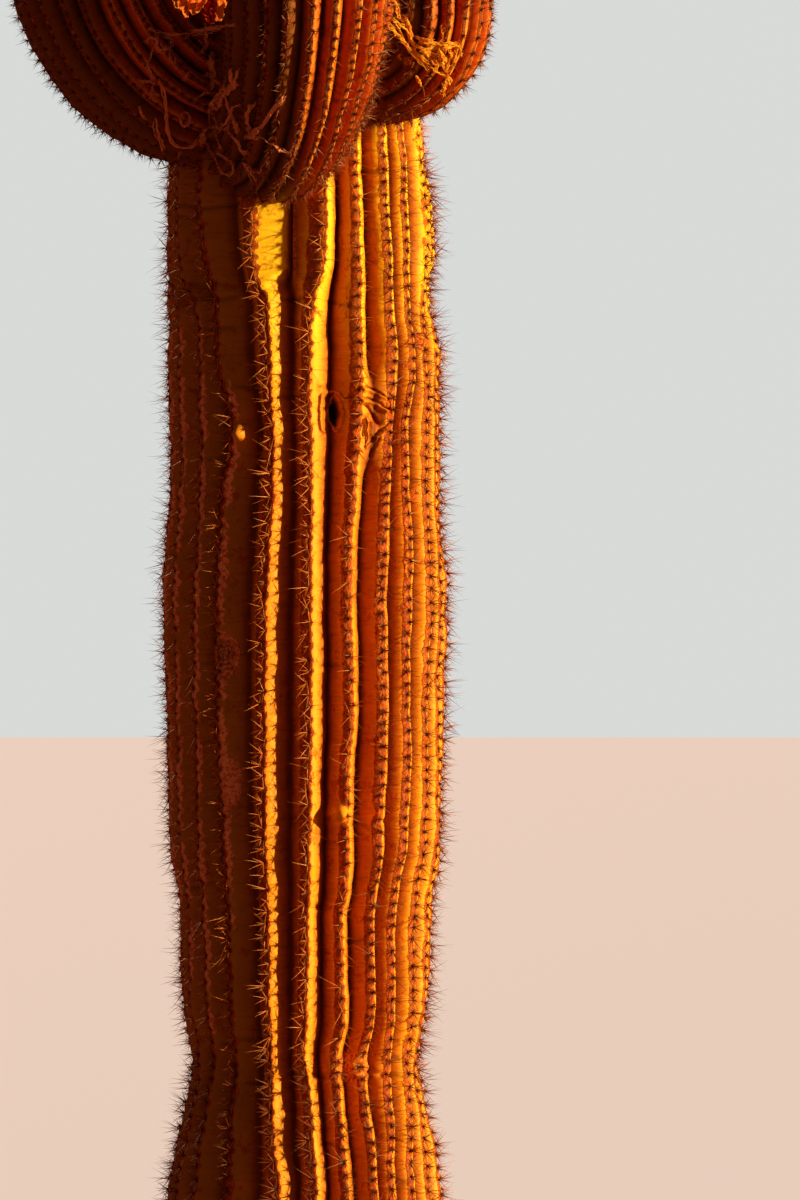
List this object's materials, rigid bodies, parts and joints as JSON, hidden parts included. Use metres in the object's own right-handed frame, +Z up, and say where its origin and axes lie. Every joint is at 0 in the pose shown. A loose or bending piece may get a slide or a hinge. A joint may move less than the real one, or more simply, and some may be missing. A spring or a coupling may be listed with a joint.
{
  "type": "saguaro cactus",
  "caption": "Tall mature desert cactus with a thick pleated trunk and upturned pleated arms, rooted in the ground and cut flat at ground level.",
  "frame": {"origin": "middle of the flat cut under the trunk, at ground level", "axes": "+Z up the trunk, -Y towards the viewer of the picture, +X to the viewer's right"},
  "size_m": [0.8744, 1.1972, 5.4],
  "materials": {
    "trunk_skin": "waxy ribbed skin, olive with a golden cast, with corky brown spine edges",
    "arm_skin": "waxy ribbed skin, slightly greener and cleaner than the trunk's"
  },
  "bodies": {
    "root": {"trunk": "trunk_skin", "left_arm_elbow": "arm_skin", "left_arm_upright": "arm_skin", "front_arm_elbow": "arm_skin", "front_arm_upright": "arm_skin", "right_arm_elbow": "arm_skin", "right_arm_upright": "arm_skin", "back_arm_elbow": "arm_skin", "back_arm_upright": "arm_skin"}
  },
  "joints": []
}
